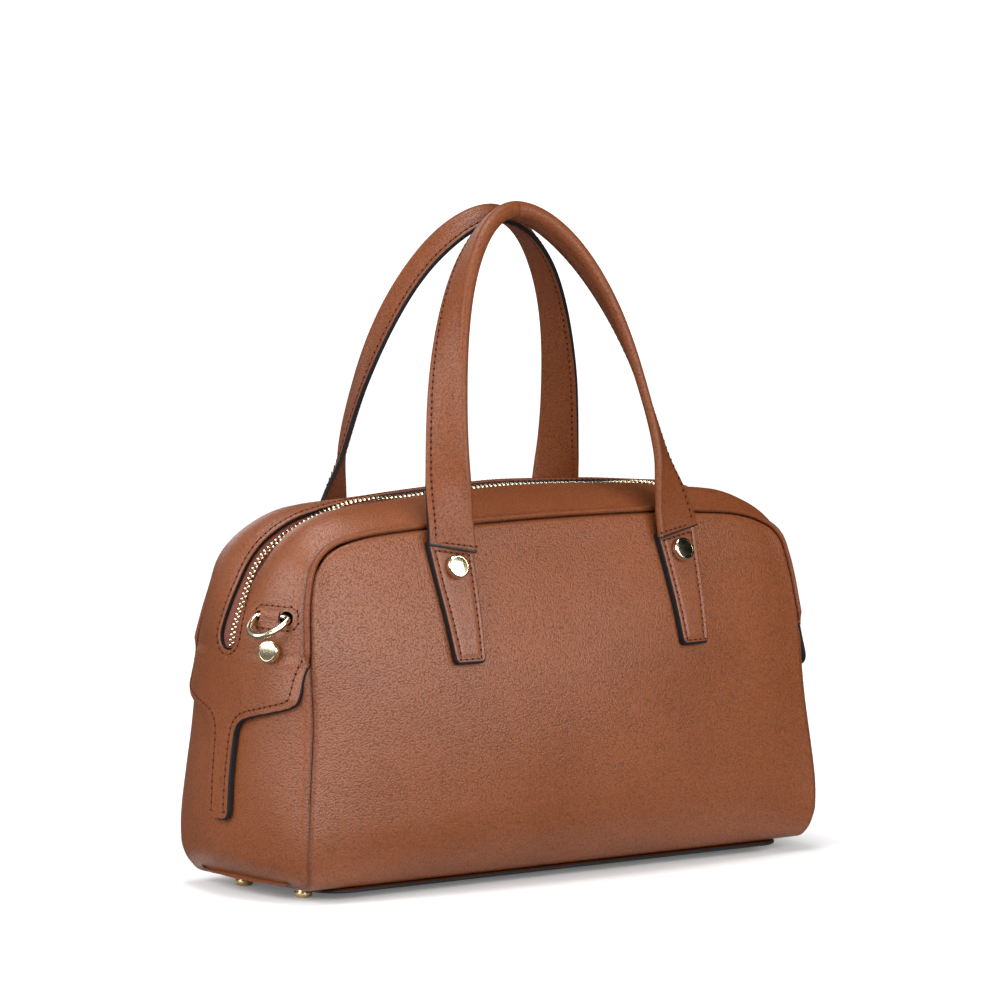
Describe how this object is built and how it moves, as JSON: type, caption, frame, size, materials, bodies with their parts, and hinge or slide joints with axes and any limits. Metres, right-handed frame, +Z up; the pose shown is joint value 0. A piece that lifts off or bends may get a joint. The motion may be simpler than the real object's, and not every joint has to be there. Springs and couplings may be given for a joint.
{
  "type": "leather bowling bag",
  "caption": "Soft leather bowling bag with puffed panels, a zipped arched top with tongue flaps at its ends, rolled handles on studded tabs, strap rings and small metal feet.",
  "frame": {"origin": "middle of the bag's footprint, on the plane its feet stand on", "axes": "+X along the bag's length, -Y out of the front face, +Z up"},
  "size_m": [0.3252, 0.1298, 0.3102],
  "materials": {
    "leather": "fine pebbled grain, soft sheen",
    "edge": "black leather base with a painted edge",
    "tape": "woven zip tape",
    "gold": "polished pale gold plate"
  },
  "bodies": {
    "bag": {"front_panel": "leather", "piping_front": "leather", "handle_front": "leather", "back_panel": "leather", "piping_back": "leather", "handle_back": "leather", "top_gusset": "leather", "zip_tape": "tape", "zip_chain": "gold", "zip_slider": "gold", "base_plate": "edge", "right_side": "leather", "left_side": "leather", "ring_keeper_right": "leather", "ring_keeper_left": "leather", "side_stud_right": "gold", "side_stud_left": "gold", "handle_tab_front_right": "leather", "handle_tab_front_left": "leather", "handle_tab_back_right": "leather", "handle_tab_back_left": "leather", "handle_stud_front_right": "gold", "handle_stud_front_left": "gold", "handle_stud_back_right": "gold", "handle_stud_back_left": "gold", "foot_front_right": "gold", "foot_front_left": "gold", "foot_back_right": "gold", "foot_back_left": "gold"},
    "ring_right": {"d_ring_right": "gold"},
    "ring_left": {"d_ring_left": "gold"}
  },
  "joints": [
    {"name": "ring_right_swing", "type": "hinge", "parent": "bag", "child": "ring_right", "pos_m": [0.14839, 0.02479, 0.12941], "axis": [0.3417, -0.9392, 0.0342], "range_deg": [0, 92]},
    {"name": "ring_left_swing", "type": "hinge", "parent": "bag", "child": "ring_left", "pos_m": [-0.14839, -0.02479, 0.12941], "axis": [-0.3417, 0.9392, 0.0342], "range_deg": [0, 92]}
  ]
}
